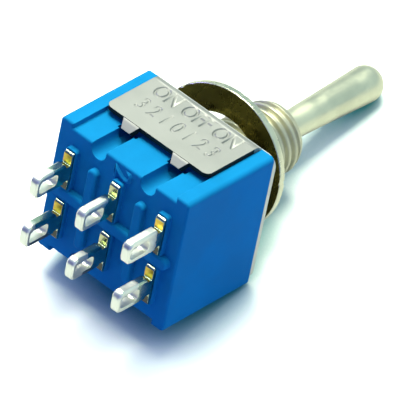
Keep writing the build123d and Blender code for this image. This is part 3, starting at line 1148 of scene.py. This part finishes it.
def light_sky(scene):
    """A soft sky, brighter overhead and to one side, bluer beyond the lugs, white to the camera.

    A direction's lean to a side is the cosine of the angle between them. The strength eases from
    dim to bright as the lean to the bright side goes from -0.6 to 0.75, and the tint from that of
    the open sky to that of the lugs' side as the lean to that side goes from 0 to 0.8.
    """
    bright_side, lug_side = (0.5, -0.4, 0.77), (-0.96, -0.2, -0.2)
    dim, bright = 0.35, 0.9
    open_tint, lug_tint = (0.66, 0.90, 0.98), (0.10, 0.14, 0.82)
    world = bpy.data.worlds.new("Pale sky")
    scene.world = world
    world.use_nodes = True
    tree = world.node_tree
    tree.nodes.clear()
    direction = add_node(tree, "ShaderNodeTexCoord").outputs["Generated"]
    strength = ramp(tree, dot(tree, direction, bright_side), -0.6, 0.75, dim, bright)
    tint = mix(tree, ramp(tree, dot(tree, direction, lug_side), 0.0, 0.8), open_tint, lug_tint)
    sky = add_node(tree, "ShaderNodeBackground", {"Color": tint, "Strength": strength}).outputs[0]
    white = add_node(tree, "ShaderNodeBackground", {"Color": (1, 1, 1, 1)}).outputs[0]
    seen = add_node(tree, "ShaderNodeLightPath").outputs["Is Camera Ray"]
    either = add_node(tree, "ShaderNodeMixShader", {0: seen, 1: sky, 2: white}).outputs[0]
    tree.links.new(either, add_node(tree, "ShaderNodeOutputWorld").inputs["Surface"])


def hang_light(scene, name, place, side, watts, colour):
    """A soft square light at a place, turned towards the switch's middle."""
    target = Vector((-4 * MM, 0, 0))
    lamp = bpy.data.lights.new(name, "AREA")
    lamp.shape = "SQUARE"
    lamp.size = side
    lamp.energy = watts
    lamp.color = colour
    holder = bpy.data.objects.new(name, lamp)
    holder.location = place
    holder.rotation_euler = (target - Vector(place)).to_track_quat("-Z", "Y").to_euler()
    scene.collection.objects.link(holder)


def aim_camera(scene):
    """The camera at the picture's place: from the lugs' side, above, and rolled."""
    azimuth, elevation, roll = radians(-54.86), radians(37.93), radians(12.03)
    distance, frame_width = 800 * MM, 30.287 * MM
    shift_right, shift_up = -0.064 * MM, -1.897 * MM
    sensor_width = 36
    looked_at = Vector((-3.5 * MM, 0, 0))
    back = Vector((sin(azimuth) * cos(elevation), -cos(azimuth) * cos(elevation), sin(elevation)))
    level = Vector((cos(azimuth), sin(azimuth), 0))
    upright = back.cross(level)
    right = cos(roll) * level + sin(roll) * upright
    up = back.cross(right)
    middle = looked_at + shift_right * right + shift_up * up
    lens = bpy.data.cameras.new("Camera")
    lens.sensor_width = sensor_width
    lens.lens = sensor_width * distance / frame_width
    lens.clip_start, lens.clip_end = 0.01, 10
    camera = bpy.data.objects.new("Camera", lens)
    turn = Matrix((right, up, back)).transposed().to_4x4()
    camera.matrix_world = Matrix.Translation(middle + distance * back) @ turn
    scene.collection.objects.link(camera)
    scene.camera = camera


class SWITCH_PT_panel(bpy.types.Panel):
    """Lists the switch's pieces, sizes and colours"""

    bl_idname = "SWITCH_PT_panel"
    bl_label = "Toggle Switch"
    bl_space_type = "VIEW_3D"
    bl_region_type = "UI"
    bl_category = "Switch"

    def draw(self, context):
        """Shows each size and colour, and a button for each operator."""
        for group in (context.scene.switch_sizes, context.scene.switch_colours):
            for name in group.__annotations__:
                self.layout.prop(group, name)
        for operator in OPERATORS:
            self.layout.operator(operator.bl_idname)


OPERATORS = (
    SWITCH_OT_case,
    SWITCH_OT_frame,
    SWITCH_OT_bushing,
    SWITCH_OT_nut,
    SWITCH_OT_washer,
    SWITCH_OT_lever,
    SWITCH_OT_lugs,
    SWITCH_OT_mechanism,
    SWITCH_OT_stage,
)
CLASSES = (SwitchSizes, SwitchColours, *OPERATORS, SWITCH_PT_panel)


def register():
    """Registers the classes and hangs the sizes and colours on the scene."""
    for kind in CLASSES:
        bpy.utils.register_class(kind)
    bpy.types.Scene.switch_sizes = PointerProperty(type=SwitchSizes)
    bpy.types.Scene.switch_colours = PointerProperty(type=SwitchColours)


def unregister():
    """Takes the sizes and colours off the scene and unregisters the classes."""
    del bpy.types.Scene.switch_colours
    del bpy.types.Scene.switch_sizes
    for kind in reversed(CLASSES):
        bpy.utils.unregister_class(kind)


def main():
    """Builds every piece in order."""
    register()
    for operator in OPERATORS:
        name = operator.bl_idname.removeprefix("switch.")
        getattr(bpy.ops.switch, name)()


if __name__ == "__main__":
    main()
